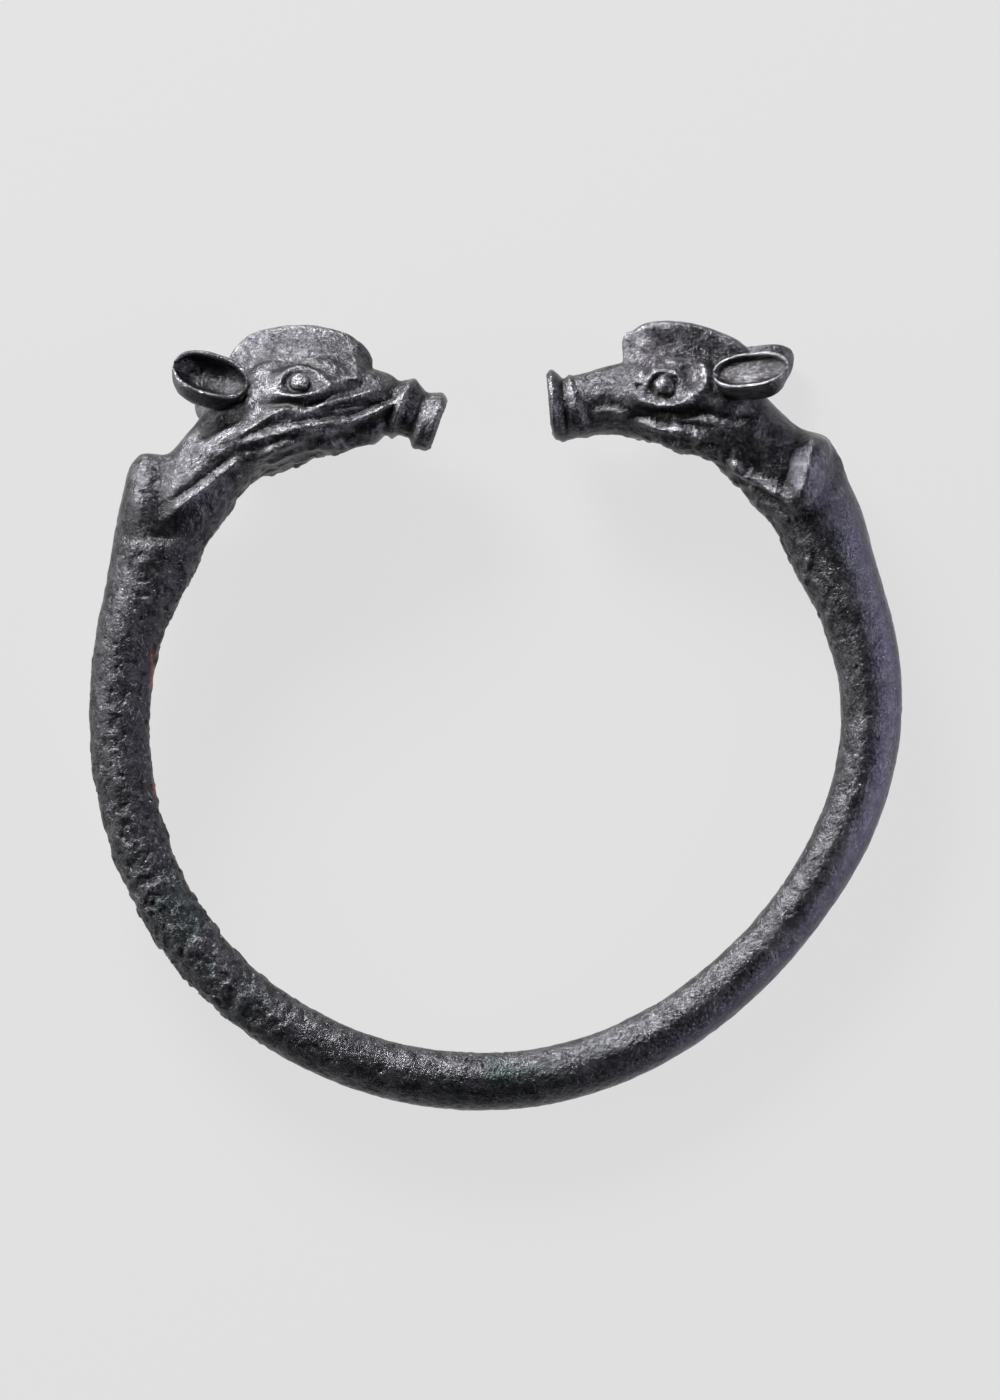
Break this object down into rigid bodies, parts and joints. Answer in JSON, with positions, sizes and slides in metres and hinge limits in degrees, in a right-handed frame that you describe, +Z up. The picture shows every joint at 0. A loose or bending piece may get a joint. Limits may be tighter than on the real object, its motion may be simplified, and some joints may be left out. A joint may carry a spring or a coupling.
{
  "type": "bracelet",
  "caption": "Open cast bronze bracelet with a dark patina; its ends are boar heads, nose to nose, with upright crests, cup ears and flat snouts.",
  "frame": {"origin": "middle of the bracelet's box in plan, on the surface it lies on", "axes": "+Z up, square to the surface that the bracelet lies on; +Y from the back of the hoop towards the gap between the snouts; +X towards the right head"},
  "size_m": [0.0812, 0.0788, 0.0128],
  "materials": {
    "dark_bronze": "cast bronze with a near-black, slightly violet patina, worn smooth on the bar and finely pitted"
  },
  "bodies": {
    "root": {"bracelet": "dark_bronze"}
  },
  "joints": []
}
